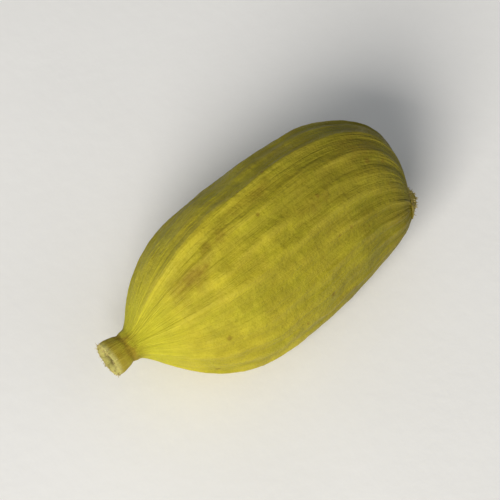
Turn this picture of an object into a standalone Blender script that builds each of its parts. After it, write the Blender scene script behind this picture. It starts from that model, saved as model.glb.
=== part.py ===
"""A whole green cardamom pod, picked and dried, lying on its side.

The pod is one dried fruit: a three-cornered husk that narrows into the cut stub of its stalk at
the -X end and closes on a small blunt beak at the +X end. Its blunt end leans, so that the beak
sits off its middle, towards -Y. Its underside is pressed flat where it lies. Everything is in
metres with +Z up, and the origin is the middle of the pod's box, on the surface it lies on.
"""

import math

import bmesh
import bpy
import numpy as np

MM = 0.001
TURN = 2 * math.pi

# Overall form, its length before the blunt end leans. The pod bows towards +Y, and is a little
# lower than it is wide.
POD_LENGTH = 15.1 * MM
CORNER_RADIUS = 3.84 * MM
HEIGHT_SHARE = 0.95
BOW = 0.45 * MM

# The three corners run down the middle of the three seed chambers. Angles start at +Z and
# grow towards -Y. The corners are turned, and crowded towards the underside, by the next two.
# FACE_DEPTH is how much nearer the middle of a face is than a corner.
CORNER_TURN = math.radians(-3)
CORNER_CROWDING = math.radians(-9)
FACE_DEPTH = 0.17
CORNER_SHARPNESS = 0.8

# How far from each end the husk reaches its full size, and how bluntly it closes on the beak.
STALK_TAPER = 7.0 * MM
BEAK_TAPER = 6.2 * MM
BEAK_BLUNTNESS = 2.7

# The blunt end: how far it slopes once it has leaned, and how far the beak sits off its middle.
END_LEAN = 0.50
BEAK_SHIFT = 1.95 * MM

# The cut stub of the stalk, with a knob at its end and a joint behind it, and the beak.
STALK_LENGTH = 1.1 * MM
STALK_RADIUS = 0.66 * MM
KNOB_SWELL = 0.09 * MM
KNOB_PLACE = 0.22 * MM
KNOB_REACH = 0.34 * MM
JOINT_PINCH = 0.06 * MM
JOINT_PLACE = 0.84 * MM
JOINT_REACH = 0.13 * MM
BEAK_LENGTH = 0.32 * MM
BEAK_RADIUS = 0.32 * MM
BEAK_FOOT = 0.35 * MM
BEAK_FOOT_REACH = 0.20 * MM

# How each end closes: (share of its rim's radius, distance from the rim towards +X). The cut
# is dimpled and the beak is domed.
CUT_PROFILE = ((0.25, 0.20 * MM), (0.55, 0.12 * MM), (0.85, 0.0))
BEAK_PROFILE = ((0.75, 0.06 * MM), (0.35, 0.11 * MM))

# Relief raised from the husk.
RIBS_PER_FACE = 8
COLUMNS_PER_RIB = 3
RIB_HEIGHT = 0.085 * MM
RIB_SHARPNESS = 3
RIB_EVENNESS = 0.68
RIB_START_STEP = 2.4
RIB_SWELLS = 6.5
RIB_SWELL_STEP = 1.7
SEAM_HEIGHT = 0.09 * MM
SEAM_WIDTH = 0.30 * MM
FOLD_DEPTH = 0.07 * MM
FOLD_WIDTH = 0.55 * MM
SEED_BULGE = 0.040 * MM
SEED_PITCH = 2.7 * MM
SEED_STAGGER = 1.4
DENT_DEPTH = 0.035 * MM

# Each dent wave: turns round the pod, waves along it, share of the depth, start of the wave.
DENT_WAVES = ((2, 1.3, 0.45, 0.4), (3, -2.2, 0.30, 1.9), (5, 2.7, 0.25, 4.1))

# The resting spot: how far the underside is pressed in, and how high it blends into the husk.
REST_DEPTH = 0.25 * MM
REST_BLEND = 0.10 * MM

# The mesh: its rings, its columns, and how much closer the rings are at the ends.
RINGS = 52
COLUMNS = 3 * RIBS_PER_FACE * COLUMNS_PER_RIB
OUTLINE_SAMPLES = 2001
END_CLOSENESS = 1.5

HUSK_COLOUR = (0.40, 0.33, 0.03, 1.0)
HUSK_ROUGHNESS = 0.55


def clear_scene():
    """Empty the file, so that only the pod is left."""
    for obj in list(bpy.data.objects):
        bpy.data.objects.remove(obj)


def stalk_fullness(along):
    """How full the husk is near the stalk: 0 where it leaves the stub, 1 past STALK_TAPER."""
    share = np.clip((along - STALK_LENGTH) / STALK_TAPER, 0, 1)
    return 1 - (1 - share) ** 3


def beak_fullness(along):
    """How full the husk is near the beak: 1 before BEAK_TAPER and 0 where the beak begins."""
    share = np.clip((POD_LENGTH - BEAK_LENGTH - along) / BEAK_TAPER, 0, 1)
    return (1 - (1 - share) ** 2) ** (1 / BEAK_BLUNTNESS)


def husk_fullness(along):
    """How full the husk is: 1 in its middle and 0 on the stub and the beak."""
    return stalk_fullness(along) * beak_fullness(along)


def swell(along, place, reach):
    """A smooth rise of 1 at a place, gone past its reach."""
    return np.exp(-(((along - place) / reach) ** 2))


def pod_radius(along):
    """Distance of a corner from the middle: the husk run smoothly into the stub and the beak."""
    knob = KNOB_SWELL * swell(along, KNOB_PLACE, KNOB_REACH)
    pinch = JOINT_PINCH * swell(along, JOINT_PLACE, JOINT_REACH)
    stalk = STALK_RADIUS + knob - pinch
    beak = BEAK_RADIUS + BEAK_FOOT * swell(along, POD_LENGTH - BEAK_LENGTH, BEAK_FOOT_REACH)
    beak_share = np.clip(2 * along / POD_LENGTH - 0.5, 0, 1)
    end = stalk + (beak - stalk) * beak_share
    return np.hypot(CORNER_RADIUS * husk_fullness(along), end)


def corner_angle(phase):
    """Angle round the pod for a phase of 0 to one turn, with a corner at each third."""
    return phase + CORNER_TURN + CORNER_CROWDING * np.cos(phase)


def smooth_surface(along, phase):
    """Points of the three-cornered husk before its relief is raised."""
    fullness = husk_fullness(along)
    between = ((1 - np.cos(3 * phase)) / 2) ** CORNER_SHARPNESS
    radius = pod_radius(along) * (1 - FACE_DEPTH * fullness * between)
    angle = corner_angle(phase)
    share = along / POD_LENGTH
    middle = BOW * np.sin(math.pi * share**3) - BEAK_SHIFT * (1 - beak_fullness(along))
    side = middle - radius * np.sin(angle)
    lean = END_LEAN * share**4 * side
    return np.stack([along + lean, side, HEIGHT_SHARE * radius * np.cos(angle)], axis=-1)


def distance_from(phase, along, lines):
    """Distance round the husk from the nearest of some evenly spaced lines."""
    apart = TURN / lines
    offset = (phase + apart / 2) % apart - apart / 2
    return np.abs(offset) * pod_radius(along)


def rib_relief(phase, along):
    """Height of the long ribs: each swells and fades along its way."""
    count = 3 * RIBS_PER_FACE
    place = phase / TURN * count
    number = np.round(place) % count
    crest = np.cos(math.pi * (place - np.round(place))) ** RIB_SHARPNESS
    swells = RIB_SWELLS * along / POD_LENGTH * np.cos(RIB_SWELL_STEP * number)
    change = np.sin(RIB_START_STEP * number + swells)
    return RIB_HEIGHT * crest * (RIB_EVENNESS + (1 - RIB_EVENNESS) * change)


def relief(along, phase):
    """Height raised from the smooth husk: ribs, corner seams, folds, seed bulges and dents."""
    seam = SEAM_HEIGHT * np.exp(-((distance_from(phase, along, 3) / SEAM_WIDTH) ** 2))
    half_face = phase + TURN / 6
    fold = FOLD_DEPTH * np.exp(-((distance_from(half_face, along, 3) / FOLD_WIDTH) ** 2))
    seeds = np.cos(TURN * along / SEED_PITCH + SEED_STAGGER * np.sin(3 * phase))
    bulge = SEED_BULGE * seeds * np.sin(3 * phase) ** 2
    dents = sum(
        share * np.sin(turns * phase + TURN * waves * along / POD_LENGTH + start)
        for turns, waves, share, start in DENT_WAVES
    )
    raised = rib_relief(phase, along) + seam - fold + bulge + DENT_DEPTH * dents
    return raised * husk_fullness(along)


def outward_normals(points):
    """Unit normals of a grid of points: rows run along the pod, columns close round it."""
    down_rows = np.gradient(points, axis=0)
    round_columns = np.roll(points, -1, axis=1) - np.roll(points, 1, axis=1)
    normals = np.cross(round_columns, down_rows)
    return normals / np.linalg.norm(normals, axis=-1, keepdims=True)


def ring_places():
    """Places along the pod for its rings, spaced over its outline and closer at its ends."""
    along = np.linspace(0, POD_LENGTH, OUTLINE_SAMPLES)
    steps = np.hypot(np.diff(along), np.diff(pod_radius(along)))
    closeness = 1 + END_CLOSENESS * (1 - husk_fullness(along[1:]))
    travelled = np.concatenate([[0], np.cumsum(steps * closeness)])
    return np.interp(np.linspace(0, travelled[-1], RINGS), travelled, along)


def husk_grid():
    """The outer skin from the rim of the cut stalk to the rim of the beak."""
    around = np.arange(COLUMNS) * TURN / COLUMNS
    along, phase = np.meshgrid(ring_places(), around, indexing="ij")
    points = smooth_surface(along, phase)
    return points + relief(along, phase)[..., None] * outward_normals(points)


def closing_rings(edge, profile):
    """Rings that turn an open edge in towards its middle.

    Each step of the profile is (share of the edge's radius, distance towards +X).
    """
    middle = edge.mean(axis=0)
    return [middle + (edge - middle) * share + [shift, 0, 0] for share, shift in profile]


def press_flat(points):
    """Flatten what lies lowest, blend it away upwards and put that flat at height 0."""
    points[:, 2] -= points[:, 2].min() + REST_DEPTH
    low = np.clip(points[:, 2], 0, REST_BLEND)
    eased = low**2 * (2 * REST_BLEND - low) / REST_BLEND**2
    points[:, 2] = np.where(points[:, 2] < REST_BLEND, eased, points[:, 2])
    return points


def pod_points():
    """Every ring from the dimple of the cut end to the tip of the beak, then both end points."""
    skin = husk_grid()
    dimple = closing_rings(skin[0], CUT_PROFILE)
    tip = closing_rings(skin[-1], BEAK_PROFILE)
    ends = [dimple[0].mean(axis=0), tip[-1].mean(axis=0)]
    points = press_flat(np.concatenate([*dimple, *skin, *tip, ends]))
    points[:, :2] -= (points[:, :2].min(axis=0) + points[:, :2].max(axis=0)) / 2
    return points, len(dimple) + len(skin) + len(tip)


def pod_mesh():
    """One closed skin: quads between the rings and a fan of triangles at each end."""
    points, ring_count = pod_points()
    shape = bmesh.new()
    made = [shape.verts.new(point) for point in points]
    rings = [made[i * COLUMNS : (i + 1) * COLUMNS] for i in range(ring_count)]
    cut_centre, beak_centre = made[-2:]
    for column in range(COLUMNS):
        after = (column + 1) % COLUMNS
        for here, there in zip(rings, rings[1:]):
            shape.faces.new((here[column], there[column], there[after], here[after]))
        shape.faces.new((cut_centre, rings[0][column], rings[0][after]))
        shape.faces.new((beak_centre, rings[-1][after], rings[-1][column]))
    bmesh.ops.recalc_face_normals(shape, faces=shape.faces)
    mesh = bpy.data.meshes.new("cardamom_pod")
    shape.to_mesh(mesh)
    shape.free()
    mesh.shade_smooth()
    return mesh


def husk_material():
    """Dry, papery, yellow-green husk."""
    material = bpy.data.materials.new("husk")
    material.use_nodes = True
    shader = material.node_tree.nodes["Principled BSDF"]
    shader.inputs["Base Color"].default_value = HUSK_COLOUR
    shader.inputs["Roughness"].default_value = HUSK_ROUGHNESS
    shader.inputs["Metallic"].default_value = 0.0
    return material


def main():
    """Build the pod in an empty file."""
    clear_scene()
    pod = bpy.data.objects.new("cardamom_pod", pod_mesh())
    pod.data.materials.append(husk_material())
    bpy.context.scene.collection.objects.link(pod)


main()
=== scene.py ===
"""Looks of a dried green cardamom pod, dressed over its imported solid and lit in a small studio.

The husk, with its cut stalk and its beak, is grown by one Geometry Nodes tree from the same rule
and sizes as the solid, with finer ribs, fibres and wrinkles raised from it. A second tree sets
the torn fibres of the cut stalk and the dry tuft of the beak on it.
"""

import logging
import math
from dataclasses import dataclass, fields
from enum import Enum
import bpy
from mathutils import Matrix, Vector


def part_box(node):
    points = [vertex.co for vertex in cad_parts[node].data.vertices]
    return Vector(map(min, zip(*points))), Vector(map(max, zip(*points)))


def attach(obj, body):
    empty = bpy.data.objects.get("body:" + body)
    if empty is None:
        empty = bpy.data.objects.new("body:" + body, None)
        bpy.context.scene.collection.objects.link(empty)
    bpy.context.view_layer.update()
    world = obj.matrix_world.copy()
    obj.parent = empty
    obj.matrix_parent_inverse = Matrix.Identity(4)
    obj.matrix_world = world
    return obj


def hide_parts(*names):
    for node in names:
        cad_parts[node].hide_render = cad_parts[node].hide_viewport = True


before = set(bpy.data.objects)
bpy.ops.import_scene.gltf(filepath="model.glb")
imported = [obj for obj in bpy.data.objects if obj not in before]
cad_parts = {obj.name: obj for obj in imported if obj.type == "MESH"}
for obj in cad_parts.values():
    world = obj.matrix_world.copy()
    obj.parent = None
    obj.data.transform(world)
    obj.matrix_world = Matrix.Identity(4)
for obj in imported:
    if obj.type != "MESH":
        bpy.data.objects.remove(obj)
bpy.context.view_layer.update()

from types import SimpleNamespace
from typing import Optional, Union

import bpy
from mathutils import Vector

MM = 0.001
TURN = 2 * math.pi
POD_NODE = "cardamom_pod"
BODY = "root"

log = logging.getLogger("cardamom_pod")


class Mark(Enum):
    """Attributes that the husk's mesh carries for its material and for what grows on it."""

    WRAP = "wrap"
    SECTION = "section"
    RIB = "rib"
    SEAM = "seam"
    FULLNESS = "fullness"
    CUT = "cut_face"

    @property
    def kind(self) -> str:
        """The attribute's data type."""
        return "FLOAT_VECTOR" if self in (Mark.WRAP, Mark.SECTION) else "FLOAT"


class TreeKind(Enum):
    """The two kinds of node tree that this file builds."""

    GEOMETRY = "GeometryNodeTree"
    SHADER = "ShaderNodeTree"


class Way(Enum):
    """Which side of a tree a socket is on."""

    INPUT = "INPUT"
    OUTPUT = "OUTPUT"


@dataclass(frozen=True)
class Field:
    """A value that varies over a mesh or a material: one output socket of a node tree.

    Arithmetic on it adds Math nodes to the tree.
    """

    tree: bpy.types.NodeTree
    socket: bpy.types.NodeSocket

    def math(self, operation: str, *others: "Value", clamp: bool = False) -> "Field":
        """Add a Math node with this value as its first input.

        Args:
            operation: the Math node's operation.
            others: its other inputs.
            clamp: whether the result is held between 0 and 1.

        Returns:
            The node's result.
        """
        node = self.tree.nodes.new("ShaderNodeMath")
        node.operation = operation
        node.use_clamp = clamp
        for socket, value in zip(node.inputs, (self, *others)):
            feed(socket, value)
        return Field(self.tree, node.outputs[0])

    def __add__(self, other: "Value") -> "Field":
        """Sum of the two."""
        return self.math("ADD", other)

    __radd__ = __add__

    def __sub__(self, other: "Value") -> "Field":
        """This less the other."""
        return self.math("SUBTRACT", other)

    def __rsub__(self, other: "Value") -> "Field":
        """The other less this."""
        return self.math("MULTIPLY", -1.0).math("ADD", other)

    def __mul__(self, other: "Value") -> "Field":
        """Product of the two."""
        return self.math("MULTIPLY", other)

    __rmul__ = __mul__

    def __truediv__(self, other: "Value") -> "Field":
        """This over the other."""
        return self.math("DIVIDE", other)

    def __rtruediv__(self, other: "Value") -> "Field":
        """The other over this."""
        return self.math("POWER", -1.0).math("MULTIPLY", other)

    def __pow__(self, other: "Value") -> "Field":
        """This to the power of the other."""
        return self.math("POWER", other)

    def sin(self) -> "Field":
        """Sine of this angle in radians."""
        return self.math("SINE")

    def cos(self) -> "Field":
        """Cosine of this angle in radians."""
        return self.math("COSINE")

    def clip(self) -> "Field":
        """This held between 0 and 1."""
        return self.math("ADD", 0.0, clamp=True)

    def bell(self, place: "Value", reach: "Value") -> "Field":
        """A smooth rise of 1 where this equals place, gone past its reach."""
        offset = (self - place) / reach
        return (offset * offset * -1.0).math("EXPONENT")


Value = Union[Field, float, int, bool, str, tuple, bpy.types.ID]
Sizes = dict[str, Union[int, float]]


def feed(socket: bpy.types.NodeSocket, value: Value) -> None:
    """Link a field into an input, or set the input's own value.

    Args:
        socket: the input.
        value: what goes into it.
    """
    if isinstance(value, Field):
        value.tree.links.new(value.socket, socket)
    else:
        socket.default_value = value


def named(sockets: bpy.types.bpy_prop_collection, name: str) -> bpy.types.NodeSocket:
    """The socket of a name that is in use.

    Args:
        sockets: a node's inputs or outputs.
        name: the socket's name.

    Returns:
        That socket.
    """
    return next(s for s in sockets if s.name == name and s.enabled)


@dataclass(frozen=True)
class Tint:
    """A colour that is laid over another: where, and how strongly at most."""

    where: Field
    strength: float
    colour: Value


@dataclass(frozen=True)
class Graph:
    """A node tree being built."""

    tree: bpy.types.NodeTree

    @classmethod
    def new(cls, name: str, kind: TreeKind) -> "Graph":
        """Start an empty tree.

        Args:
            name: the tree's name.
            kind: whether it shapes a mesh, and so puts out geometry, or colours a surface.

        Returns:
            The graph round the tree.
        """
        graph = cls(bpy.data.node_groups.new(name, kind.value))
        if kind is TreeKind.GEOMETRY:
            graph.socket("Geometry", Way.OUTPUT, "NodeSocketGeometry")
        return graph

    def node(
        self, kind: str, inputs: Optional[dict[str, Value]] = None, **settings: object
    ) -> bpy.types.Node:
        """Add a node.

        Args:
            kind: the node's type name.
            inputs: its inputs by socket name.
            settings: its own properties by name.

        Returns:
            The new node.
        """
        made = self.tree.nodes.new(kind)
        for name, value in settings.items():
            setattr(made, name, value)
        for name, value in (inputs or {}).items():
            feed(named(made.inputs, name), value)
        return made

    def get(
        self, kind: str, output: str, inputs: Optional[dict[str, Value]] = None, **settings: object
    ) -> Field:
        """Add a node and take one of its outputs.

        Args:
            kind: the node's type name.
            output: the output's name.
            inputs: its inputs by socket name.
            settings: its own properties by name.

        Returns:
            That output.
        """
        return self.outputs(self.node(kind, inputs, **settings), output)[0]

    def outputs(self, node: bpy.types.Node, *names: str) -> tuple[Field, ...]:
        """Outputs of a node, by name."""
        return tuple(Field(self.tree, named(node.outputs, name)) for name in names)

    def vector(self, x: Value, y: Value, z: Value) -> Field:
        """Three values as one vector."""
        return self.get("ShaderNodeCombineXYZ", "Vector", {"X": x, "Y": y, "Z": z})

    def parts(self, vector: Value) -> tuple[Field, Field, Field]:
        """The three values of a vector."""
        node = self.node("ShaderNodeSeparateXYZ", {"Vector": vector})
        return tuple(Field(self.tree, socket) for socket in node.outputs)

    def scaled(self, vector: Value, factor: Value) -> Field:
        """A vector times a value."""
        inputs = {"Vector": vector, "Scale": factor}
        return self.get("ShaderNodeVectorMath", "Vector", inputs, operation="SCALE")

    def paired(self, operation: str, first: Value, second: Value) -> Field:
        """Two vectors joined by a Vector Math operation.

        Args:
            operation: the node's operation.
            first: its first vector.
            second: its second vector.

        Returns:
            Its result, a value for a dot product and a vector for the others.
        """
        node = self.node("ShaderNodeVectorMath", operation=operation)
        feed(node.inputs[0], first)
        feed(node.inputs[1], second)
        return Field(self.tree, next(s for s in node.outputs if s.enabled))

    def noise(
        self, vector: Value, scale: Value, detail: float = 2.0, roughness: float = 0.5
    ) -> Field:
        """Smooth noise from 0 to 1.

        Args:
            vector: the place that it is read at.
            scale: how many features fit a unit of that place.
            detail: how many finer layers it has.
            roughness: how strong the finer layers are.

        Returns:
            The noise.
        """
        inputs = {"Vector": vector, "Scale": scale, "Detail": detail, "Roughness": roughness}
        return self.get("ShaderNodeTexNoise", "Fac", inputs)

    def mix(self, share: Value, first: Value, second: Value) -> Field:
        """A colour between two colours.

        Args:
            share: 0 gives the first colour and 1 the second.
            first: a colour.
            second: another colour.

        Returns:
            The mixed colour.
        """
        node = self.node("ShaderNodeMix", data_type="RGBA")
        feed(named(node.inputs, "Factor"), share)
        feed(named(node.inputs, "A"), first)
        feed(named(node.inputs, "B"), second)
        return self.outputs(node, "Result")[0]

    def tinted(self, colour: Value, *tints: Tint) -> Value:
        """Lay colours over a colour, one after the other.

        Args:
            colour: the colour below.
            tints: the colours above.

        Returns:
            The mixed colour.
        """
        for tint in tints:
            colour = self.mix(tint.where * tint.strength, colour, tint.colour)
        return colour

    def ramp(self, value: Value, low: Value, high: Value) -> Field:
        """A smooth step.

        Args:
            value: what is stepped.
            low: where the step is at 0.
            high: where it is at 1.

        Returns:
            The stepped value.
        """
        inputs = {"Value": value, "From Min": low, "From Max": high}
        return self.get("ShaderNodeMapRange", "Result", inputs, interpolation_type="SMOOTHSTEP")

    def socket(self, name: str, way: Way, kind: str, value: Optional[Value] = None) -> str:
        """Give the tree a named input or output.

        Args:
            name: the socket's name.
            way: its side.
            kind: its type name.
            value: an input's first value.

        Returns:
            The socket's identifier.
        """
        made = self.tree.interface.new_socket(name, in_out=way.value, socket_type=kind)
        if value is not None:
            made.default_value = value
        return made.identifier

    def sizes(self, *holders: object) -> tuple[SimpleNamespace, Sizes]:
        """Give the tree one named input for each whole number and float of some dataclasses.

        Args:
            holders: the dataclass instances.

        Returns:
            The inputs under their own names, and each input's value by its identifier.
        """
        values, names = {}, []
        for holder in holders:
            for size in fields(holder):
                value = getattr(holder, size.name)
                if not isinstance(value, (int, float)):
                    continue
                kind = "NodeSocketInt" if isinstance(value, int) else "NodeSocketFloat"
                title = size.name.replace("_", " ").capitalize()
                values[self.socket(title, Way.INPUT, kind, value)] = value
                names.append(size.name)
        group = self.node("NodeGroupInput")
        outputs = [Field(self.tree, s) for s in group.outputs if s.identifier in values]
        return SimpleNamespace(**dict(zip(names, outputs))), values

    def attribute(self, mark: Mark) -> Field:
        """An attribute of the mesh that a Geometry Nodes tree is shaping."""
        inputs = {"Name": mark.value}
        return self.get("GeometryNodeInputNamedAttribute", "Attribute", inputs, data_type=mark.kind)

    def keep(self, geometry: Value, mark: Mark, value: Value) -> Field:
        """The mesh with a value stored on each point."""
        inputs = {"Geometry": geometry, "Name": mark.value, "Value": value}
        return self.get("GeometryNodeStoreNamedAttribute", "Geometry", inputs, data_type=mark.kind)

    def place(self, geometry: Value, position: Value) -> Field:
        """The mesh with each point put at a position."""
        inputs = {"Geometry": geometry, "Position": position}
        return self.get("GeometryNodeSetPosition", "Geometry", inputs)

    def shift(self, geometry: Value, offset: Value) -> Field:
        """The mesh with each point moved by an offset."""
        inputs = {"Geometry": geometry, "Offset": offset}
        return self.get("GeometryNodeSetPosition", "Geometry", inputs)

    def finish(self, geometry: Value, material: bpy.types.Material) -> None:
        """End a Geometry Nodes tree: real geometry, smooth faces, one material.

        Args:
            geometry: the finished mesh or instances.
            material: the material that all of it takes.
        """
        real = self.get("GeometryNodeRealizeInstances", "Geometry", {"Geometry": geometry})
        smooth = self.get("GeometryNodeSetShadeSmooth", "Geometry", {"Geometry": real})
        inputs = {"Geometry": smooth, "Material": material}
        dressed = self.get("GeometryNodeSetMaterial", "Geometry", inputs)
        feed(self.node("NodeGroupOutput").inputs[0], dressed)


def grown(
    name: str, graph: Graph, values: Sizes, start: Optional[bpy.types.Mesh] = None
) -> bpy.types.Object:
    """Run a Geometry Nodes tree and keep its result as a plain mesh at the origin.

    Args:
        name: the finished piece's name.
        graph: the tree.
        values: each input's value by its identifier.
        start: the mesh that the tree is given, if it takes one.

    Returns:
        The finished piece, with no modifier left.
    """
    piece = bpy.data.objects.new(name, start.copy() if start else bpy.data.meshes.new(name))
    bpy.context.scene.collection.objects.link(piece)
    modifier = piece.modifiers.new(graph.tree.name, "NODES")
    modifier.node_group = graph.tree
    for identifier, value in values.items():
        modifier[identifier] = value
    bpy.context.view_layer.update()
    evaluated = piece.evaluated_get(bpy.context.evaluated_depsgraph_get())
    mesh = bpy.data.meshes.new_from_object(evaluated)
    mesh.name = name
    piece.modifiers.remove(modifier)
    piece.data = mesh
    return piece


@dataclass(frozen=True)
class PodShape:
    """Overall sizes of the pod in metres and radians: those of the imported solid."""

    pod_length: float = 15.1 * MM
    corner_radius: float = 3.84 * MM
    height_share: float = 0.95
    bow: float = 0.45 * MM
    corner_turn: float = math.radians(-3)
    corner_crowding: float = math.radians(-9)
    face_depth: float = 0.17
    corner_sharpness: float = 0.8
    stalk_taper: float = 7.0 * MM
    beak_taper: float = 6.2 * MM
    beak_bluntness: float = 2.7
    end_lean: float = 0.50
    beak_shift: float = 1.95 * MM
    stalk_length: float = 1.1 * MM
    stalk_radius: float = 0.66 * MM
    knob_swell: float = 0.09 * MM
    knob_place: float = 0.22 * MM
    knob_reach: float = 0.34 * MM
    joint_pinch: float = 0.06 * MM
    joint_place: float = 0.84 * MM
    joint_reach: float = 0.13 * MM
    beak_length: float = 0.32 * MM
    beak_radius: float = 0.32 * MM
    beak_foot: float = 0.35 * MM
    beak_foot_reach: float = 0.20 * MM
    rest_depth: float = 0.25 * MM
    rest_blend: float = 0.10 * MM


@dataclass(frozen=True)
class PodDetail:
    """What is raised from the husk, in metres, and how finely its mesh is divided.

    A spread is how fine a pattern is round the pod, and a stretch how fine it is along it.
    """

    ribs_per_face: float = 8.0
    rib_height: float = 0.115 * MM
    rib_sharpness: float = 3.0
    rib_evenness: float = 0.62
    rib_start_step: float = 2.4
    rib_swells: float = 6.5
    rib_swell_step: float = 1.7
    rib_wander: float = 0.22
    wander_spread: float = 1.3
    wander_stretch: float = 5.0
    seam_height: float = 0.09 * MM
    seam_width: float = 0.30 * MM
    fold_depth: float = 0.07 * MM
    fold_width: float = 0.55 * MM
    seed_bulge: float = 0.040 * MM
    seed_pitch: float = 2.7 * MM
    seed_stagger: float = 1.4
    dent_depth: float = 0.14 * MM
    dent_spread: float = 1.4
    dent_stretch: float = 2.2
    fibre_height: float = 0.110 * MM
    fibre_spread: float = 9.0
    fibre_stretch: float = 0.32
    hair_height: float = 0.055 * MM
    hair_spread: float = 22.0
    hair_stretch: float = 0.22
    crease_depth: float = 0.080 * MM
    crease_size: float = 0.60 * MM
    groove_depth: float = 0.07 * MM
    groove_spread: float = 3.4
    groove_stretch: float = 0.5
    cut_depth: float = 0.30 * MM
    cut_rim: float = 0.80
    cut_ragged: float = 0.10 * MM
    torn_size: float = 0.22 * MM
    beak_dome: float = 0.12 * MM
    rings: int = 262
    columns: int = 336
    outline_samples: int = 1600


class HuskRule:
    """The rule of the husk's surface, written as nodes of one tree."""

    CORNERS = 3.0
    # Shares of the outline's points that run over the cut face and over the beak's dome
    CUT_SHARE = 0.06
    BEAK_SHARE = 0.03
    # Share of the cut's radius that the floor of its dimple takes
    CUT_FLOOR = 0.1
    # Share of the knob's swell that the rim of the cut has, and how far past the rim its mark ends
    RIM_SWELL = 0.7
    RIM_DEPTH = 0.05 * MM
    # Share of the fine relief that is left at both ends
    FINE_AT_ENDS = 0.3
    # Powers: how early the two tapers fill out, how far towards the beak the bow and the lean sit,
    # and how soon the grooves of the ends are gone
    STALK_EASE = 3.0
    BEAK_EASE = 2.0
    BOW_BACK = 3.0
    LEAN_BACK = 4.0
    GROOVE_FADE = 6.0

    def __init__(self, graph: Graph, size: SimpleNamespace) -> None:
        """Take the tree and its named inputs.

        Args:
            graph: the tree.
            size: its inputs, under the names that PodShape and PodDetail give them.
        """
        self.graph = graph
        self.size = size

    def stalk_fullness(self, along: Field) -> Field:
        """How full the husk is near the stalk: 0 on the stub and 1 past the taper."""
        share = ((along - self.size.stalk_length) / self.size.stalk_taper).clip()
        return 1.0 - (1.0 - share) ** self.STALK_EASE

    def beak_fullness(self, along: Field) -> Field:
        """How full the husk is near the beak.

        Args:
            along: place along the pod from the rim of the cut.

        Returns:
            1 before the taper and 0 where the beak begins.
        """
        end = self.size.pod_length - self.size.beak_length
        share = ((end - along) / self.size.beak_taper).clip()
        return (1.0 - (1.0 - share) ** self.BEAK_EASE) ** (1.0 / self.size.beak_bluntness)

    def fullness(self, along: Field) -> Field:
        """How full the husk is: 1 in its middle and 0 on the stub and the beak."""
        return self.stalk_fullness(along) * self.beak_fullness(along)

    def radius(self, along: Field) -> Field:
        """Distance of a corner from the middle of the pod.

        Args:
            along: place along the pod, from the rim of the cut to that of the beak.

        Returns:
            The distance.
        """
        s = self.size
        knob = s.knob_swell * along.bell(s.knob_place, s.knob_reach)
        pinch = s.joint_pinch * along.bell(s.joint_place, s.joint_reach)
        stalk = s.stalk_radius + knob - pinch
        foot = along.bell(s.pod_length - s.beak_length, s.beak_foot_reach)
        beak = s.beak_radius + s.beak_foot * foot
        beak_share = (along * 2.0 / s.pod_length - 0.5).clip()
        end = stalk + (beak - stalk) * beak_share
        husk = s.corner_radius * self.fullness(along)
        return (husk * husk + end * end).math("SQRT")

    def outline(self) -> Field:
        """The outline from the middle of the cut to the tip of the beak.

        Returns:
            A curve whose points hold the place along the pod, the radius there, and how far the
            dimple of the cut or the dome of the beak moves that point towards +X.
        """
        s, g = self.size, self.graph
        line = g.get("GeometryNodeCurvePrimitiveLine", "Curve")
        inputs = {"Curve": line, "Count": s.outline_samples}
        fine = g.get("GeometryNodeResampleCurve", "Curve", inputs)
        travelled = g.get("GeometryNodeSplineParameter", "Factor")
        cut = (travelled / self.CUT_SHARE).clip()
        beak = ((1.0 - travelled) / self.BEAK_SHARE).clip()
        body = (travelled - self.CUT_SHARE) / (1.0 - self.CUT_SHARE - self.BEAK_SHARE)
        along = s.pod_length * body.clip()
        dimple = s.cut_depth * (1.0 - g.ramp(cut, self.CUT_FLOOR, s.cut_rim))
        dome = s.beak_dome * (1.0 - beak * beak)
        return g.place(fine, g.vector(along, self.radius(along) * cut * beak, dimple + dome))

    def ball(self) -> Field:
        """Start from a ball whose points know their phase and their section of the outline.

        Returns:
            The ball, with its marks.
        """
        g, s = self.graph, self.size
        inputs = {"Segments": s.columns, "Rings": s.rings, "Radius": 1.0}
        ball = g.get("GeometryNodeMeshUVSphere", "Mesh", inputs)
        x, y, z = g.parts(g.get("GeometryNodeInputPosition", "Position"))
        inputs = {"Curves": self.outline(), "Factor": (z * -1.0).math("ARCCOSINE") / math.pi}
        section = g.get("GeometryNodeSampleCurve", "Position", inputs, mode="FACTOR")
        phase = y.math("ARCTAN2", x)
        along, corner, _ = g.parts(section)
        wrap = g.vector(phase.cos(), phase.sin(), along / s.pod_length)
        rim = s.stalk_radius + s.knob_swell * self.RIM_SWELL
        ball = g.keep(ball, Mark.SECTION, section)
        ball = g.keep(ball, Mark.WRAP, wrap)
        return g.keep(ball, Mark.CUT, (corner / rim + along / self.RIM_DEPTH).clip())

    def along(self) -> Field:
        """Place along the pod from the rim of the cut."""
        return self.graph.parts(self.graph.attribute(Mark.SECTION))[0]

    def phase(self) -> Field:
        """Phase round the pod, with a corner at each third of a turn."""
        cosine, sine, _ = self.graph.parts(self.graph.attribute(Mark.WRAP))
        return sine.math("ARCTAN2", cosine)

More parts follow.
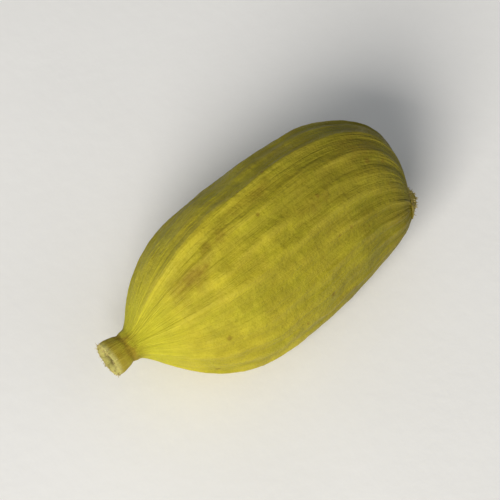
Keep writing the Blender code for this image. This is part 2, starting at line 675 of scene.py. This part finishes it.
    def surface(self) -> Field:
        """The three-cornered husk before its relief is raised.

        Returns:
            The position of each point.
        """
        s = self.size
        along, corner, shift = self.graph.parts(self.graph.attribute(Mark.SECTION))
        phase = self.phase()
        between = ((1.0 - (phase * self.CORNERS).cos()) / 2.0) ** s.corner_sharpness
        radius = corner * (1.0 - s.face_depth * self.fullness(along) * between)
        angle = phase + s.corner_turn + s.corner_crowding * phase.cos()
        share = along / s.pod_length
        bow = s.bow * (share ** self.BOW_BACK * math.pi).sin()
        middle = bow - s.beak_shift * (1.0 - self.beak_fullness(along))
        side = middle - radius * angle.sin()
        lean = s.end_lean * share ** self.LEAN_BACK * side
        height = s.height_share * radius * angle.cos()
        return self.graph.vector(along + shift + lean, side, height)

    def stretched(self, stretch: Value) -> Field:
        """The wrap vector drawn out along the pod, for what runs lengthwise."""
        cosine, sine, share = self.graph.parts(self.graph.attribute(Mark.WRAP))
        return self.graph.vector(cosine, sine, share * stretch)

    def ribs(self) -> Field:
        """The long ribs: each swells, fades and wanders.

        Returns:
            Their height as a share of the tallest.
        """
        s = self.size
        count = s.ribs_per_face * self.CORNERS
        wander = self.graph.noise(self.stretched(s.wander_stretch), s.wander_spread, 1.0) - 0.5
        place = (self.phase() + wander * s.rib_wander) * count / TURN
        number = place.math("ROUND")
        crest = ((place - number) * math.pi).cos() ** s.rib_sharpness
        number = number.math("FLOORED_MODULO", count)
        swells = s.rib_swells * self.along() / s.pod_length * (number * s.rib_swell_step).cos()
        change = (number * s.rib_start_step + swells).sin()
        return crest * (s.rib_evenness + (1.0 - s.rib_evenness) * change)

    def line_mark(self, turn: float, width: Value) -> Field:
        """A smooth mark of 1 along each corner, or along each fold if turned by half a face.

        Args:
            turn: how far the lines are turned from the corners, in radians.
            width: distance at which the mark fades.

        Returns:
            The mark.
        """
        place = (self.phase() + turn) * self.CORNERS / TURN
        offset = (place - place.math("ROUND")) * TURN / self.CORNERS
        return (offset * self.radius(self.along())).bell(0.0, width)

    def relief(self) -> Field:
        """Ribs, seams, folds, swellings, dents, fibres and wrinkles together.

        Returns:
            The height that they raise each point from the smooth husk.
        """
        s, g = self.size, self.graph
        along, phase = self.along(), self.phase()
        round_faces = (phase * self.CORNERS).sin()
        seeds = (along * TURN / s.seed_pitch + s.seed_stagger * round_faces).cos()
        bulge = s.seed_bulge * seeds * round_faces ** 2.0
        dents = s.dent_depth * (g.noise(self.stretched(s.dent_stretch), s.dent_spread, 1.0) - 0.5)
        fibres = s.fibre_height * (g.noise(self.stretched(s.fibre_stretch), s.fibre_spread) - 0.5)
        lengthwise = self.stretched(s.hair_stretch)
        hairs = s.hair_height * (g.noise(lengthwise, s.hair_spread, 2.0, 0.6) - 0.5)
        here = g.get("GeometryNodeInputPosition", "Position")
        creases = s.crease_depth * (g.noise(here, 1.0 / s.crease_size, 3.0, 0.6) - 0.5)
        lengthwise = self.stretched(s.groove_stretch)
        grooves = s.groove_depth * (g.noise(lengthwise, s.groove_spread) - 0.5)
        seam = s.seam_height * g.attribute(Mark.SEAM)
        fold = s.fold_depth * self.line_mark(TURN / 6, s.fold_width)
        ribs = s.rib_height * g.attribute(Mark.RIB)
        full = g.attribute(Mark.FULLNESS)
        coarse = (ribs + seam - fold + bulge + dents) * full
        fine = (fibres + hairs + creases) * (full * (1.0 - self.FINE_AT_ENDS) + self.FINE_AT_ENDS)
        return coarse + grooves * (1.0 - full) ** self.GROOVE_FADE + fine

    def ragged(self) -> Field:
        """The torn rim of the cut.

        Returns:
            How far each point is torn back or left standing, along the pod.
        """
        here = self.graph.get("GeometryNodeInputPosition", "Position")
        torn = self.graph.noise(here, 1.0 / self.size.torn_size, 2.0, 0.6) - 0.5
        close = 1.0 - self.graph.ramp(self.along(), 0.0, self.size.knob_place)
        return self.size.cut_ragged * torn * close

    def pressed(self, geometry: Field) -> Field:
        """Flatten the lowest part at height 0 and blend the rest up from it.

        Args:
            geometry: the mesh so far.

        Returns:
            The mesh with its flat spot.
        """
        s, g = self.size, self.graph
        x, y, z = g.parts(g.get("GeometryNodeInputPosition", "Position"))
        inputs = {"Geometry": geometry, "Attribute": z}
        lowest = g.get("GeometryNodeAttributeStatistic", "Min", inputs)
        height = z - lowest - s.rest_depth
        low = height.math("MAXIMUM", 0.0).math("MINIMUM", s.rest_blend)
        eased = low * low * (s.rest_blend * 2.0 - low) / (s.rest_blend * s.rest_blend)
        above = (height - s.rest_blend).math("MAXIMUM", 0.0)
        return g.place(geometry, g.vector(x, y, eased + above))

    def centred(self, geometry: Field) -> Field:
        """Put the middle of the mesh's box over the origin.

        Args:
            geometry: the mesh so far.

        Returns:
            The mesh in its place.
        """
        g = self.graph
        low, high = g.outputs(g.node("GeometryNodeBoundBox", {"Geometry": geometry}), "Min", "Max")
        middle = g.paired("MULTIPLY", g.paired("ADD", low, high), (-0.5, -0.5, 0.0))
        return g.shift(geometry, middle)

    def mesh(self) -> Field:
        """Wrap the ball into the pod.

        Returns:
            The finished skin, with its marks.
        """
        g = self.graph
        skin = self.ball()
        skin = g.keep(skin, Mark.FULLNESS, self.fullness(self.along()))
        skin = g.keep(skin, Mark.SEAM, self.line_mark(0.0, self.size.seam_width))
        skin = g.keep(skin, Mark.RIB, self.ribs())
        skin = g.place(skin, self.surface())
        normal = g.get("GeometryNodeInputNormal", "Normal")
        skin = g.shift(skin, g.scaled(normal, self.relief()))
        skin = g.shift(skin, g.vector(self.ragged(), 0.0, 0.0))
        return self.centred(self.pressed(skin))


class Effects:
    """Patterns that several materials share, each a group of nodes."""

    # The broad streaks' part of the streaks, how much finer the fine ones are, and the noise where
    # a streak or patch starts and is full
    BROAD = 0.6
    FINER = 2.7
    STREAK_EDGES = (0.34, 0.66)
    PATCH_EDGES = (0.32, 0.68)
    # Ripples and cells in a speck's size, how far ripples bend the cells, and the radius of a speck
    # in its cell: the least, how much more the largest has, and the share of it that is solid
    RIPPLES = 2.0
    CELLS = 0.45
    BEND = 0.5
    LEAST_SPECK = 0.05
    SPECK_RANGE = 0.22
    SPECK_CORE = 0.4

    def __init__(self) -> None:
        """Build each group once."""
        self.streaks = self.build_streaks()
        self.mottle = self.build_mottle()
        self.specks = self.build_specks()

    def opened(
        self, name: str, inputs: dict[str, Optional[float]], output: str
    ) -> tuple[Graph, SimpleNamespace]:
        """Start a group.

        Args:
            name: the group's name.
            inputs: its inputs and their first values; None stands for a vector.
            output: the name of its one output, a value.

        Returns:
            The graph, and its inputs under their own names.
        """
        graph = Graph.new(name, TreeKind.SHADER)
        for title, value in inputs.items():
            kind = "NodeSocketVector" if value is None else "NodeSocketFloat"
            graph.socket(title, Way.INPUT, kind, value)
        graph.socket(output, Way.OUTPUT, "NodeSocketFloat")
        group = graph.node("NodeGroupInput")
        sockets = {s.name.lower(): Field(graph.tree, s) for s in group.outputs if s.name}
        return graph, SimpleNamespace(**sockets)

    def closed(self, graph: Graph, result: Field) -> bpy.types.NodeTree:
        """Put out the group's one result."""
        feed(graph.node("NodeGroupOutput").inputs[0], result)
        return graph.tree

    def build_streaks(self) -> bpy.types.NodeTree:
        """Build fibres that run the length of the pod: fine by Spread, drawn out by Stretch.

        Returns:
            The group.
        """
        inputs = {"Wrap": None, "Spread": 20.0, "Stretch": 0.3}
        graph, given = self.opened("Fibre streaks", inputs, "Streaks")
        cosine, sine, share = graph.parts(given.wrap)
        place = graph.vector(cosine, sine, share * given.stretch)
        broad = graph.noise(place, given.spread, 2.0, 0.5)
        fine = graph.noise(place, given.spread * self.FINER, 2.0, 0.6)
        both = broad * self.BROAD + fine * (1.0 - self.BROAD)
        return self.closed(graph, graph.ramp(both, *self.STREAK_EDGES))

    def build_mottle(self) -> bpy.types.NodeTree:
        """Build soft uneven patches about Size metres across.

        Returns:
            The group.
        """
        graph, given = self.opened("Mottle", {"Place": None, "Size": 0.001}, "Patches")
        patches = graph.noise(given.place, 1.0 / given.size, 3.0, 0.55)
        return self.closed(graph, graph.ramp(patches, *self.PATCH_EDGES))

    def build_specks(self) -> bpy.types.NodeTree:
        """Build scattered specks up to Size metres across, on the given Share of their places.

        Returns:
            The group.
        """
        inputs = {"Place": None, "Size": 0.0003, "Share": 0.3}
        graph, given = self.opened("Specks", inputs, "Specks")
        inputs = {"Vector": given.place, "Scale": self.RIPPLES / given.size}
        ripples = graph.get("ShaderNodeTexNoise", "Color", inputs)
        bent = graph.paired("ADD", given.place, graph.scaled(ripples, given.size * self.BEND))
        inputs = {"Vector": bent, "Scale": self.CELLS / given.size}
        cells = graph.node("ShaderNodeTexVoronoi", inputs)
        distance, colour = graph.outputs(cells, "Distance", "Color")
        chance, size, _ = graph.parts(colour)
        edge = size * self.SPECK_RANGE + self.LEAST_SPECK
        round_spots = 1.0 - graph.ramp(distance, edge * self.SPECK_CORE, edge)
        return self.closed(graph, round_spots * chance.math("LESS_THAN", given.share))


@dataclass(frozen=True)
class Surface:
    """A material being built: its tree, its shader, and the patterns that it can show."""

    graph: Graph
    shader: bpy.types.Node
    material: bpy.types.Material
    effects: Effects

    @classmethod
    def new(cls, name: str, effects: Effects, constants: dict[str, float]) -> "Surface":
        """Start a material.

        Args:
            name: the material's name.
            effects: the shared patterns.
            constants: values set on the shader's own sockets, by socket name.

        Returns:
            The surface round the material.
        """
        material = bpy.data.materials.new(name)
        material.use_nodes = True
        shader = material.node_tree.nodes["Principled BSDF"]
        for constant, value in constants.items():
            shader.inputs[constant].default_value = value
        return cls(Graph(material.node_tree), shader, material, effects)

    def place(self) -> Field:
        """The point's place on the piece, in metres."""
        return self.graph.get("ShaderNodeTexCoord", "Object")

    def mark(self, mark: Mark) -> Field:
        """A value that the mesh carries."""
        return self.graph.get("ShaderNodeAttribute", "Fac", attribute_name=mark.value)

    def wrap(self) -> Field:
        """The vector that follows the pod's skin."""
        return self.graph.get("ShaderNodeAttribute", "Vector", attribute_name=Mark.WRAP.value)

    def effect(self, group: bpy.types.NodeTree, **inputs: Value) -> Field:
        """Place a shared effect in the material.

        Args:
            group: the effect's tree.
            inputs: its inputs by name.

        Returns:
            Its one output.
        """
        node = self.graph.node("ShaderNodeGroup", node_tree=group)
        for name, value in inputs.items():
            feed(node.inputs[name], value)
        return Field(self.graph.tree, node.outputs[0])

    def streaks(self, spread: float, stretch: float) -> Field:
        """Fibres along the pod, as fine round it as spread and along it as stretch."""
        return self.effect(self.effects.streaks, Wrap=self.wrap(), Spread=spread, Stretch=stretch)

    def patches(self, size: float) -> Field:
        """Soft patches about size metres across."""
        return self.effect(self.effects.mottle, Place=self.place(), Size=size)

    def specks(self, size: float, share: float) -> Field:
        """Specks up to size metres across, on a share of their places."""
        return self.effect(self.effects.specks, Place=self.place(), Size=size, Share=share)

    def dress(
        self, colour: Value, roughness: Value, height: Value, distance: float
    ) -> bpy.types.Material:
        """Feed the shader.

        Args:
            colour: the base colour.
            roughness: the roughness.
            height: fine detail that stands out, about 0 to 1.
            distance: how far 1 stands out, in metres.

        Returns:
            The finished material.
        """
        bump = {"Height": height, "Distance": distance, "Strength": 1.0}
        feed(self.shader.inputs["Base Color"], colour)
        feed(self.shader.inputs["Roughness"], roughness)
        feed(self.shader.inputs["Normal"], self.graph.get("ShaderNodeBump", "Normal", bump))
        return self.material


@dataclass(frozen=True)
class TwoToneFinish:
    """A matt finish of two colours that mix in soft patches, with a fine grain."""

    name: str
    light: tuple
    dark: tuple
    patch_size: float
    patch_share: float
    grain_size: float
    grain_share: float
    grain_height: float
    roughness: float
    specular: float
    roughness_range: float = 0.2

    def build(self, effects: Effects) -> bpy.types.Material:
        """Make the material.

        Args:
            effects: the shared patterns.

        Returns:
            The material.
        """
        surface = Surface.new(self.name, effects, {"Specular IOR Level": self.specular})
        grain = surface.graph.noise(surface.place(), 1.0 / self.grain_size)
        share = surface.patches(self.patch_size) * self.patch_share + grain * self.grain_share
        colour = surface.graph.mix(share, self.light, self.dark)
        roughness = self.roughness + grain * self.roughness_range
        return surface.dress(colour, roughness, grain, self.grain_height)


@dataclass(frozen=True)
class Stain:
    """A brown scuff on the husk: its place on the wrap, and its reach along and round the pod."""

    share: float
    phase: float
    length: float
    width: float
    strength: float


@dataclass(frozen=True)
class HuskFinish:
    """Dry, papery, yellow-green husk with paler ribs, a pale cut and a brown joint in its stalk.

    A rise or fade holds where it starts and where it ends, and a ring its place and its reach,
    as shares of the pod's length unless it is said otherwise below.
    """

    fresh: tuple = (0.50, 0.42, 0.020, 1.0)
    green: tuple = (0.36, 0.40, 0.010, 1.0)
    olive: tuple = (0.165, 0.140, 0.004, 1.0)
    # Painted shade laid over the husk towards the beak
    shade: tuple = (0.085, 0.070, 0.003, 1.0)
    # Brown-olive of the freckles, also used as painted shade in the grooves between the ribs
    groove: tuple = (0.150, 0.140, 0.004, 1.0)
    straw: tuple = (0.60, 0.48, 0.055, 1.0)
    brown: tuple = (0.165, 0.092, 0.006, 1.0)
    neck: tuple = (0.55, 0.52, 0.026, 1.0)
    collar: tuple = (0.36, 0.26, 0.018, 1.0)
    knob: tuple = (0.54, 0.43, 0.050, 1.0)
    cut: tuple = (0.58, 0.53, 0.17, 1.0)
    pith: tuple = (0.12, 0.075, 0.020, 1.0)
    patch_size: float = 2.4 * MM
    unripe_size: float = 1.3 * MM
    gloss_size: float = 0.9 * MM
    blotch_size: float = 0.62 * MM
    end_patch_size: float = 0.35 * MM
    crumple_size: float = 0.34 * MM
    speck_size: float = 0.30 * MM
    freckle_size: float = 0.26 * MM
    grain_size: float = 0.10 * MM
    bump_height: float = 0.055 * MM
    specular: float = 0.18
    sheen: float = 0.01
    sheen_roughness: float = 0.5
    roughness: float = 0.50
    patch_roughness: float = 0.14
    grain_roughness: float = 0.08
    rib_polish: float = 0.06
    # Where the darkening towards the beak, partly age and partly painted shade, starts and ends
    age_and_shade_rise: tuple = (0.10, 1.05)
    shade_rise: tuple = (0.74, 1.0)
    beak_rise: tuple = (0.970, 0.984)
    neck_fade: tuple = (0.06, 0.24)
    knob_fade: tuple = (0.022, 0.050)
    bark_rise: tuple = (0.003, 0.017)
    joint_ring: tuple = (0.050, 0.016)
    smudge_ring: tuple = (0.068, 0.022)
    # Shares of a rib's height, of the cut's radius and of a stain's strength
    groove_fade: tuple = (0.0, 0.4)
    crest_rise: tuple = (0.45, 1.0)
    pith_fade: tuple = (0.30, 0.62)
    stain_rise: tuple = (0.05, 1.10)
    # Shares of the bump's height that its three parts have
    streak_relief: float = 0.5
    grain_relief: float = 0.5
    crumple_relief: float = 1.1
    # How strongly each colour covers what is under it where it shows most
    shade_strength: float = 0.50
    unripe_strength: float = 0.25
    blotch_strength: float = 0.22
    freckle_strength: float = 0.16
    groove_shade_strength: float = 0.16
    crest_strength: float = 0.16
    streak_strength: float = 0.16
    seam_strength: float = 0.14
    speck_strength: float = 0.50
    neck_strength: float = 0.72
    knob_strength: float = 0.90
    beak_strength: float = 0.85
    # The darkening from fresh to olive towards the beak, partly the husk's age and partly painted
    # shade: its most at the beak, how far patches change it, what stays fresh, and how much of the
    # unripe green goes with it
    age_and_shade_most: float = 0.95
    age_and_shade_patches: float = 0.30
    fresh_share: float = 0.12
    ripening: float = 0.7
    # How much of a stain is even, the patches' part in what breaks up the rest, and the share of
    # their places that specks fill
    stain_body: float = 0.35
    worn_patches: float = 0.55
    speck_share: float = 0.30
    # How far patches and streaks vary the colours of the ends
    smudge_patches: float = 0.6
    collar_patches: float = 0.45
    pith_patches: float = 0.18
    cut_streaks: float = 0.3
    bark_streaks: float = 0.7
    scar_streaks: float = 0.5
    scar_patches: float = 0.4
    stains: tuple = (
        Stain(0.27, 0.36, 0.075, 0.13, 0.62),
        Stain(0.36, 0.20, 0.060, 0.09, 0.45),
        Stain(0.50, 0.10, 0.110, 0.07, 0.40),
        Stain(0.66, 0.62, 0.080, 0.12, 0.28),
        Stain(0.84, 0.15, 0.050, 0.16, 0.30),
        Stain(0.55, 2.80, 0.090, 0.16, 0.45),
        Stain(0.72, 4.60, 0.080, 0.15, 0.45),
    )

    def colour(self, surface: Surface) -> Value:
        """Colour of the husk between its ends.

        Args:
            surface: the material being built.

        Returns:
            The colour.
        """
        g, wrap = surface.graph, surface.wrap()
        share = g.parts(wrap)[2]
        sizes = (self.patch_size, self.blotch_size, self.freckle_size, self.unripe_size)
        patches, blotches, freckles, unripe = (surface.patches(size) for size in sizes)
        specks = surface.specks(self.speck_size, self.speck_share)
        streaks = surface.streaks(spread=13.0, stretch=0.30)
        rib = surface.mark(Mark.RIB)
        # Partly age, partly painted shade: the husk runs from fresh to a darker olive towards the
        # beak
        age_and_shade = g.ramp(share, *self.age_and_shade_rise) * self.age_and_shade_most
        aged_and_shaded = (age_and_shade + patches * self.age_and_shade_patches - self.fresh_share).clip()
        worn = blotches * self.worn_patches + (1.0 - streaks) * (1.0 - self.worn_patches)
        return g.tinted(
            g.mix(aged_and_shaded, self.fresh, self.olive),
            # Painted shade: the husk darkens towards the beak
            Tint(g.ramp(share, *self.shade_rise), self.shade_strength, self.shade),
            Tint(unripe * (1.0 - age_and_shade * self.ripening), self.unripe_strength, self.green),
            Tint(blotches, self.blotch_strength, self.brown),
            Tint(freckles, self.freckle_strength, self.groove),
            # Painted shade: the grooves between the ribs are darkened
            Tint(1.0 - g.ramp(rib, *self.groove_fade), self.groove_shade_strength, self.groove),
            Tint(g.ramp(rib, *self.crest_rise) * streaks, self.crest_strength, self.straw),
            Tint(streaks, self.streak_strength, self.straw),
            Tint(surface.mark(Mark.SEAM) * streaks, self.seam_strength, self.straw),
            *(self.stained(g, wrap, worn, stain) for stain in self.stains),
            Tint(specks, self.speck_strength, self.brown),
        )

    def stained(self, graph: Graph, wrap: Field, worn: Field, stain: Stain) -> Tint:
        """Place one stain.

        Args:
            graph: the material's tree.
            wrap: the vector that follows the skin.
            worn: small patches and streaks that break the stain up.
            stain: the stain.

        Returns:
            Where its brown shows, and how strongly.
        """
        towards = (math.cos(stain.phase), math.sin(stain.phase), 0.0)
        turned = graph.paired("DOT_PRODUCT", wrap, towards)
        turned = turned.math("MINIMUM", 1.0).math("MAXIMUM", -1.0).math("ARCCOSINE")
        along = graph.parts(wrap)[2].bell(stain.share, stain.length)
        edge = along * turned.bell(0.0, stain.width)
        where = graph.ramp(edge * (self.stain_body + worn), *self.stain_rise)
        return Tint(where, stain.strength, self.brown)

    def ends(self, surface: Surface, colour: Value) -> Value:
        """Run the husk's colour into the neck, the stalk's joint, the cut face and the beak.

        Args:
            surface: the material being built.
            colour: the husk's colour.

        Returns:
            The colour of the whole skin.
        """
        g = surface.graph
        share = g.parts(surface.wrap())[2]
        streaks = surface.streaks(spread=9.0, stretch=0.8)
        patches = surface.patches(self.end_patch_size)
        smudge = share.bell(*self.smudge_ring) * patches * self.smudge_patches
        uneven = 1.0 - self.collar_patches + patches * self.collar_patches
        collar = ((share.bell(*self.joint_ring) + smudge) * uneven).clip()
        pale = g.mix(streaks * self.cut_streaks, self.cut, self.collar)
        bark = g.mix(streaks * self.bark_streaks, self.collar, self.knob)
        knob = g.mix(g.ramp(share, *self.bark_rise), pale, bark)
        inner = surface.mark(Mark.CUT) + patches * self.pith_patches
        torn = streaks * self.scar_streaks + patches * self.scar_patches
        scar = g.mix(torn, self.straw, self.brown)
        return g.tinted(
            colour,
            Tint(1.0 - g.ramp(share, *self.neck_fade), self.neck_strength, self.neck),
            Tint(collar, 1.0, self.collar),
            Tint(1.0 - g.ramp(share, *self.knob_fade), self.knob_strength, knob),
            Tint(1.0 - g.ramp(inner, *self.pith_fade), 1.0, self.pith),
            Tint(g.ramp(share, *self.beak_rise), self.beak_strength, scar),
        )

    def build(self, effects: Effects) -> bpy.types.Material:
        """Make the material of the whole skin.

        Args:
            effects: the shared patterns.

        Returns:
            The material.
        """
        constants = {
            "Specular IOR Level": self.specular,
            "Sheen Weight": self.sheen,
            "Sheen Roughness": self.sheen_roughness,
        }
        surface = Surface.new("Cardamom husk", effects, constants)
        g, place = surface.graph, surface.place()
        colour = self.ends(surface, self.colour(surface))
        streaks = surface.streaks(spread=22.0, stretch=0.22)
        patches = surface.patches(self.gloss_size)
        grain = g.noise(place, 1.0 / self.grain_size, 3.0, 0.6)
        crumple = g.noise(place, 1.0 / self.crumple_size, 3.0, 0.6)
        polish = surface.mark(Mark.RIB) * self.rib_polish
        wear = grain * self.grain_roughness
        roughness = self.roughness + patches * self.patch_roughness - polish + wear
        fine = streaks * self.streak_relief + grain * self.grain_relief
        height = fine + crumple * self.crumple_relief
        return surface.dress(colour, roughness, height, self.bump_height)


@dataclass(frozen=True)
class Husk:
    """The pod's whole skin, with its stalk and its beak."""

    shape: PodShape = PodShape()
    detail: PodDetail = PodDetail()
    finish: HuskFinish = HuskFinish()

    def build(self, effects: Effects) -> bpy.types.Object:
        """Grow the husk and dress it.

        Args:
            effects: the shared patterns.

        Returns:
            The husk.
        """
        graph = Graph.new("Pod husk", TreeKind.GEOMETRY)
        size, values = graph.sizes(self.shape, self.detail)
        graph.finish(HuskRule(graph, size).mesh(), self.finish.build(effects))
        husk = grown("pod_husk", graph, values)
        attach(husk, BODY)
        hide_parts(POD_NODE)
        return husk


@dataclass(frozen=True)
class TornFibres:
    """Short fibres left standing round the cut of the stalk, and the dry tuft on the beak."""

    rim_density: float = 62e6
    rim_start: float = 0.70
    rim_blur: float = 0.05
    rim_end: float = 0.12 * MM
    tuft_density: float = 46e6
    tuft_start: float = 0.988
    fibre_length: float = 0.13 * MM
    shortest: float = 0.35
    longest: float = 1.0
    fibre_radius: float = 0.017 * MM
    tip_radius: float = 0.006 * MM
    bend: float = 0.05 * MM
    scatter: float = 0.75
    sides: int = 5
    joints: int = 4
    seed: int = 11
    finish: TwoToneFinish = TwoToneFinish(
        name="Torn fibre",
        light=(0.62, 0.52, 0.21, 1.0),
        dark=(0.30, 0.20, 0.05, 1.0),
        patch_size=0.12 * MM,
        patch_share=0.8,
        grain_size=0.02 * MM,
        grain_share=0.0,
        grain_height=0.004 * MM,
        roughness=0.6,
        specular=0.3,
    )

    def fibre(self, g: Graph, size: SimpleNamespace) -> Field:
        """Shape one tapered, bent fibre.

        Args:
            g: the tree.
            size: its inputs.

        Returns:
            The fibre, standing on the origin along +Z.
        """
        inputs = {
            "Vertices": size.sides,
            "Side Segments": size.joints,
            "Radius Top": size.tip_radius,
            "Radius Bottom": size.fibre_radius,
            "Depth": size.fibre_length,
        }
        straight = g.get("GeometryNodeMeshCone", "Mesh", inputs)
        height = g.parts(g.get("GeometryNodeInputPosition", "Position"))[2] / size.fibre_length
        return g.shift(straight, g.vector(height * height * size.bend, 0.0, 0.0))

    def density(self, g: Graph, size: SimpleNamespace) -> Field:
        """Choose where fibres stand.

        Args:
            g: the tree.
            size: its inputs.

        Returns:
            How many fibres a square metre of the husk carries at each place.
        """
        cut = g.attribute(Mark.CUT)
        along = g.parts(g.attribute(Mark.SECTION))[0]
        share = g.parts(g.attribute(Mark.WRAP))[2]
        on_rim = g.ramp(cut, size.rim_start - size.rim_blur, size.rim_start + size.rim_blur)
        on_rim = on_rim * (1.0 - g.ramp(along, size.rim_end * 0.5, size.rim_end))
        on_tip = share.math("GREATER_THAN", size.tuft_start)
        return on_rim * size.rim_density + on_tip * size.tuft_density

    def build(self, effects: Effects, husk: bpy.types.Object) -> bpy.types.Object:
        """Set the fibres on the husk.

        Args:
            effects: the shared patterns.
            husk: the finished husk, with its marks.

        Returns:
            The fibres.
        """
        g = Graph.new("Torn fibres", TreeKind.GEOMETRY)
        g.socket("Husk", Way.INPUT, "NodeSocketGeometry")
        size, values = g.sizes(self)
        skin = g.get("NodeGroupInput", "Husk")
        inputs = {"Mesh": skin, "Density": self.density(g, size), "Seed": size.seed}
        spots = g.node("GeometryNodeDistributePointsOnFaces", inputs)
        points, normal = g.outputs(spots, "Points", "Normal")
        inputs = {"Min": (-1.0, -1.0, -1.0), "Max": (1.0, 1.0, 1.0), "Seed": size.seed}
        tilt = g.get("FunctionNodeRandomValue", "Value", inputs, data_type="FLOAT_VECTOR")
        way = g.paired("ADD", normal, g.scaled(tilt, size.scatter))
        turn = g.get("FunctionNodeAlignRotationToVector", "Rotation", {"Vector": way}, axis="Z")
        inputs = {"Min": size.shortest, "Max": size.longest, "Seed": size.seed}
        long = g.get("FunctionNodeRandomValue", "Value", inputs, data_type="FLOAT")
        inputs = {
            "Points": points,
            "Instance": self.fibre(g, size),
            "Rotation": turn,
            "Scale": g.vector(1.0, 1.0, long),
        }
        tufts = g.get("GeometryNodeInstanceOnPoints", "Instances", inputs)
        g.finish(tufts, self.finish.build(effects))
        fibres = grown("torn_fibres", g, values, husk.data)
        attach(fibres, BODY)
        return fibres


@dataclass(frozen=True)
class Lamp:
    """A square soft light that faces the middle of the pod."""

    name: str
    direction: tuple
    distance: float
    width: float
    power: float
    colour: tuple

    def build(self, target: Vector) -> bpy.types.Object:
        """Hang the lamp.

        Args:
            target: the point that it faces.

        Returns:
            The lamp.
        """
        data = bpy.data.lights.new(self.name, "AREA")
        data.size = self.width
        data.energy = self.power
        data.color = self.colour
        lamp = bpy.data.objects.new(self.name, data)
        away = Vector(self.direction).normalized()
        lamp.location = target + away * self.distance
        lamp.rotation_euler = away.to_track_quat("Z", "Y").to_euler()
        bpy.context.scene.collection.objects.link(lamp)
        return lamp


@dataclass(frozen=True)
class Studio:
    """The tabletop, the lights and the camera, measured from the pod's middle."""

    azimuth: float = math.radians(-39)
    elevation: float = math.radians(60)
    lens: float = 250.0
    frame_width: float = 20.0 * MM
    # The camera's clipping distances as shares of its own distance
    clip_start: float = 1 / 20
    clip_end: float = 60.0
    tabletop_width: float = 2.4
    tabletop_drop: float = 0.01 * MM
    tabletop_finish: TwoToneFinish = TwoToneFinish(
        name="Pale tabletop",
        light=(0.90, 0.89, 0.87, 1.0),
        dark=(0.84, 0.83, 0.81, 1.0),
        patch_size=14 * MM,
        patch_share=0.5,
        grain_size=0.6 * MM,
        grain_share=0.2,
        grain_height=0.01 * MM,
        roughness=0.7,
        specular=0.2,
    )
    world_colour: tuple = (0.92, 0.96, 1.0, 1.0)
    world_strength: float = 0.27
    lamps: tuple = (
        Lamp("key", (-0.80, -0.52, 0.60), 0.30, 0.17, 1.07, (1.0, 0.97, 0.92)),
        Lamp("fill", (0.5, -0.8, 0.8), 0.35, 0.25, 0.08, (0.93, 0.96, 1.0)),
    )

    def tabletop(self, effects: Effects) -> bpy.types.Object:
        """Lay the plain floor under the pod.

        Args:
            effects: the shared patterns.

        Returns:
            The floor.
        """
        half = self.tabletop_width / 2
        ends = ((-half, -half), (half, -half), (half, half), (-half, half))
        mesh = bpy.data.meshes.new("tabletop")
        mesh.from_pydata([(x, y, -self.tabletop_drop) for x, y in ends], [], [(0, 1, 2, 3)])
        mesh.materials.append(self.tabletop_finish.build(effects))
        table = bpy.data.objects.new("tabletop", mesh)
        bpy.context.scene.collection.objects.link(table)
        return table

    def camera(self, target: Vector) -> bpy.types.Object:
        """Set up a long lens at the viewing angle.

        Args:
            target: the point that it faces.

        Returns:
            The camera.
        """
        data = bpy.data.cameras.new("camera")
        data.lens = self.lens
        distance = self.frame_width * self.lens / data.sensor_width
        data.clip_start = distance * self.clip_start
        data.clip_end = distance * self.clip_end
        camera = bpy.data.objects.new("camera", data)
        flat, high = math.cos(self.elevation), math.sin(self.elevation)
        away = Vector((math.sin(self.azimuth) * flat, -math.cos(self.azimuth) * flat, high))
        camera.location = target + away * distance
        camera.rotation_euler = away.to_track_quat("Z", "Y").to_euler()
        bpy.context.scene.collection.objects.link(camera)
        bpy.context.scene.camera = camera
        return camera

    def world(self) -> None:
        """Surround the pod with even, pale light."""
        world = bpy.data.worlds.new("studio")
        world.use_nodes = True
        background = world.node_tree.nodes["Background"]
        background.inputs["Color"].default_value = self.world_colour
        background.inputs["Strength"].default_value = self.world_strength
        bpy.context.scene.world = world

    def build(self, effects: Effects) -> None:
        """Set up the whole studio.

        Args:
            effects: the shared patterns.
        """
        low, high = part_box(POD_NODE)
        target = (low + high) / 2
        self.tabletop(effects)
        self.world()
        for lamp in self.lamps:
            lamp.build(target)
        self.camera(target)
        bpy.context.scene.view_settings.view_transform = "Standard"


def main() -> None:
    """Build the pod and its studio."""
    logging.basicConfig(level=logging.INFO, format="%(name)s: %(message)s")
    effects = Effects()
    husk = Husk().build(effects)
    log.info("%s: %d faces", husk.name, len(husk.data.polygons))
    fibres = TornFibres().build(effects, husk)
    log.info("%s: %d faces", fibres.name, len(fibres.data.polygons))
    Studio().build(effects)
    log.info("studio: tabletop, lamps and camera")


if __name__ == "__main__":
    main()
